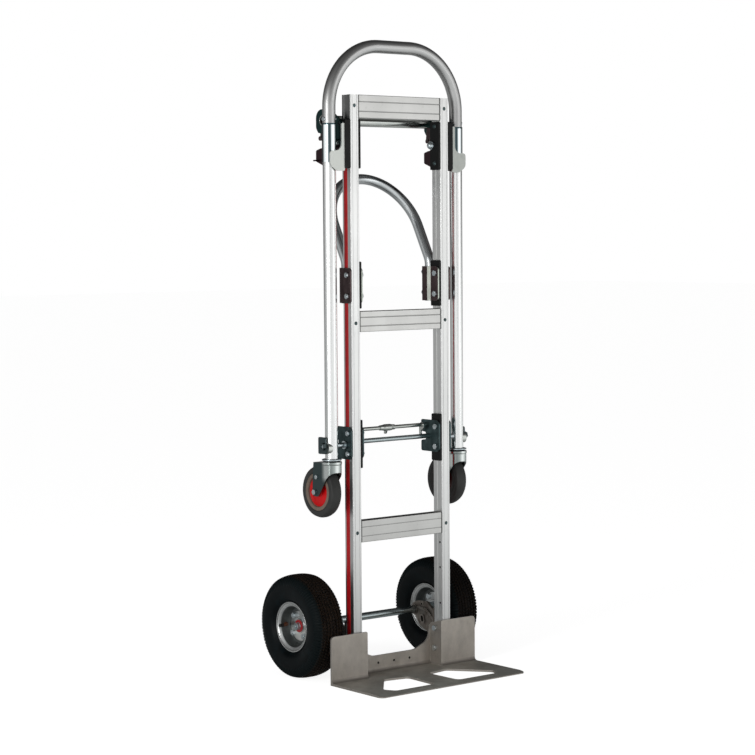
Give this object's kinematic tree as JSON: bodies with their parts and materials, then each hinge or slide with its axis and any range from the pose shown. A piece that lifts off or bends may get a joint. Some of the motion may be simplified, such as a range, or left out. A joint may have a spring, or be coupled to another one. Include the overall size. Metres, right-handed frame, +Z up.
{
  "type": "convertible hand truck",
  "caption": "Two-wheel hand truck with a cast noseplate, loop handle and a swinging caster leg frame that turns it into a four-wheel platform truck.",
  "frame": {"origin": "On the floor under the noseplate's rear part, midway between the main wheels, in the centre plane of the side rails", "axes": "+Z up along the rails, -Y forward over the noseplate, +X to the right when looking along +Y"},
  "size_m": [0.5186, 0.4525, 1.551],
  "materials": {
    "black_plastic": "moulded",
    "bracket_grey": "zinc plated, pale",
    "bronze_steel": "dark plated",
    "cast_aluminium": "brushed cast",
    "caster_rubber": "moulded",
    "chrome": "mirror",
    "dark_steel": "dark zinc",
    "leg_aluminium": "polished",
    "rail_aluminium": "satin extruded",
    "red_plastic": "moulded",
    "rim_grey": "semi-gloss",
    "tube_rubber": "moulded",
    "tyre_rubber": "moulded",
    "zinc_steel": "zinc plated"
  },
  "bodies": {
    "main_frame": {"left_rail": "rail_aluminium", "right_rail": "rail_aluminium", "red_inserts": "red_plastic", "top_crossmember": "rail_aluminium", "middle_crossmember": "rail_aluminium", "lower_crossmember": "rail_aluminium", "frame_screws": "zinc_steel", "noseplate": "cast_aluminium", "noseplate_bolts": "zinc_steel", "left_axle_bracket": "cast_aluminium", "right_axle_bracket": "cast_aluminium", "axle_bracket_bolts": "zinc_steel", "axle": "zinc_steel", "axle_nuts_and_spacers": "zinc_steel", "clamp_pads": "black_plastic", "top_pads_and_spacers": "black_plastic", "curved_handle": "leg_aluminium", "curved_handle_clamps": "bronze_steel", "curved_handle_bolts": "zinc_steel", "keeper_plates": "dark_steel", "keeper_bolts": "zinc_steel", "lower_tie_rod": "zinc_steel", "left_top_bracket": "bracket_grey", "right_top_bracket": "bracket_grey", "top_cross_tube": "zinc_steel"},
    "left_wheel": {"left_tyre": "tyre_rubber", "left_inner_tube": "tube_rubber", "left_rim_halves": "rim_grey", "left_hub": "zinc_steel", "left_bearing_cover": "red_plastic", "left_rim_bolts": "zinc_steel"},
    "right_wheel": {"right_tyre": "tyre_rubber", "right_inner_tube": "tube_rubber", "right_rim_halves": "rim_grey", "right_hub": "zinc_steel", "right_bearing_cover": "red_plastic", "right_rim_bolts": "zinc_steel"},
    "pivot_sleeves": {"left_pivot_sleeve": "chrome", "right_pivot_sleeve": "chrome", "pivot_studs": "zinc_steel", "pivot_dome_nuts": "zinc_steel"},
    "caster_frame": {"left_leg_tube": "leg_aluminium", "right_leg_tube": "leg_aluminium", "loop_handle": "leg_aluminium", "neck_pins": "zinc_steel", "leg_stubs": "zinc_steel", "stub_plates_and_nuts": "dark_steel", "caster_kingpins": "zinc_steel"},
    "left_caster": {"left_caster_fork": "dark_steel", "left_caster_axle": "zinc_steel"},
    "right_caster": {"right_caster_fork": "dark_steel", "right_caster_axle": "zinc_steel"},
    "left_caster_wheel": {"left_caster_tyre": "caster_rubber", "left_caster_hub": "red_plastic"},
    "right_caster_wheel": {"right_caster_tyre": "caster_rubber", "right_caster_hub": "red_plastic"},
    "release": {"release_rod": "dark_steel", "release_trigger": "dark_steel"},
    "left_latch": {"left_top_latch": "dark_steel"},
    "right_latch": {"right_top_latch": "dark_steel"}
  },
  "joints": [
    {"name": "left_wheel_roll", "type": "hinge", "parent": "main_frame", "child": "left_wheel", "pos_m": [-0.215, 0.112, 0.127], "axis": [1, 0, 0], "continuous": true},
    {"name": "right_wheel_roll", "type": "hinge", "parent": "main_frame", "child": "right_wheel", "pos_m": [0.215, 0.112, 0.127], "axis": [1, 0, 0], "continuous": true},
    {"name": "frame_swing", "type": "hinge", "parent": "main_frame", "child": "pivot_sleeves", "pos_m": [0, 0.008, 1.3], "axis": [1, 0, 0], "range_deg": [0, 90]},
    {"name": "leg_slide", "type": "slide", "parent": "pivot_sleeves", "child": "caster_frame", "axis": [0, 0, 1], "range_m": [0, 0.6702]},
    {"name": "left_caster_swivel", "type": "hinge", "parent": "caster_frame", "child": "left_caster", "pos_m": [-0.199, 0.008, 0.535], "axis": [0, 0, 1], "range_deg": [-45, 205]},
    {"name": "right_caster_swivel", "type": "hinge", "parent": "caster_frame", "child": "right_caster", "pos_m": [0.199, 0.008, 0.535], "axis": [0, 0, 1], "range_deg": [-205, 45]},
    {"name": "left_caster_roll", "type": "hinge", "parent": "left_caster", "child": "left_caster_wheel", "pos_m": [-0.199, 0.048, 0.462], "axis": [1, 0, 0], "continuous": true},
    {"name": "right_caster_roll", "type": "hinge", "parent": "right_caster", "child": "right_caster_wheel", "pos_m": [0.199, 0.048, 0.462], "axis": [1, 0, 0], "continuous": true},
    {"name": "release_turn", "type": "hinge", "parent": "main_frame", "child": "release", "pos_m": [0, 0.038, 0.606], "axis": [1, 0, 0], "range_deg": [0, 25]},
    {"name": "left_latch_turn", "type": "hinge", "parent": "main_frame", "child": "left_latch", "pos_m": [-0.167, 0.067, 1.357], "axis": [1, 0, 0], "range_deg": [0, 20]},
    {"name": "right_latch_turn", "type": "hinge", "parent": "main_frame", "child": "right_latch", "pos_m": [0.167, 0.067, 1.357], "axis": [1, 0, 0], "range_deg": [0, 20]}
  ],
  "couplings": [
    {"joint": "leg_slide", "follows": "frame_swing", "m_per_rad": 0.42653}
  ]
}
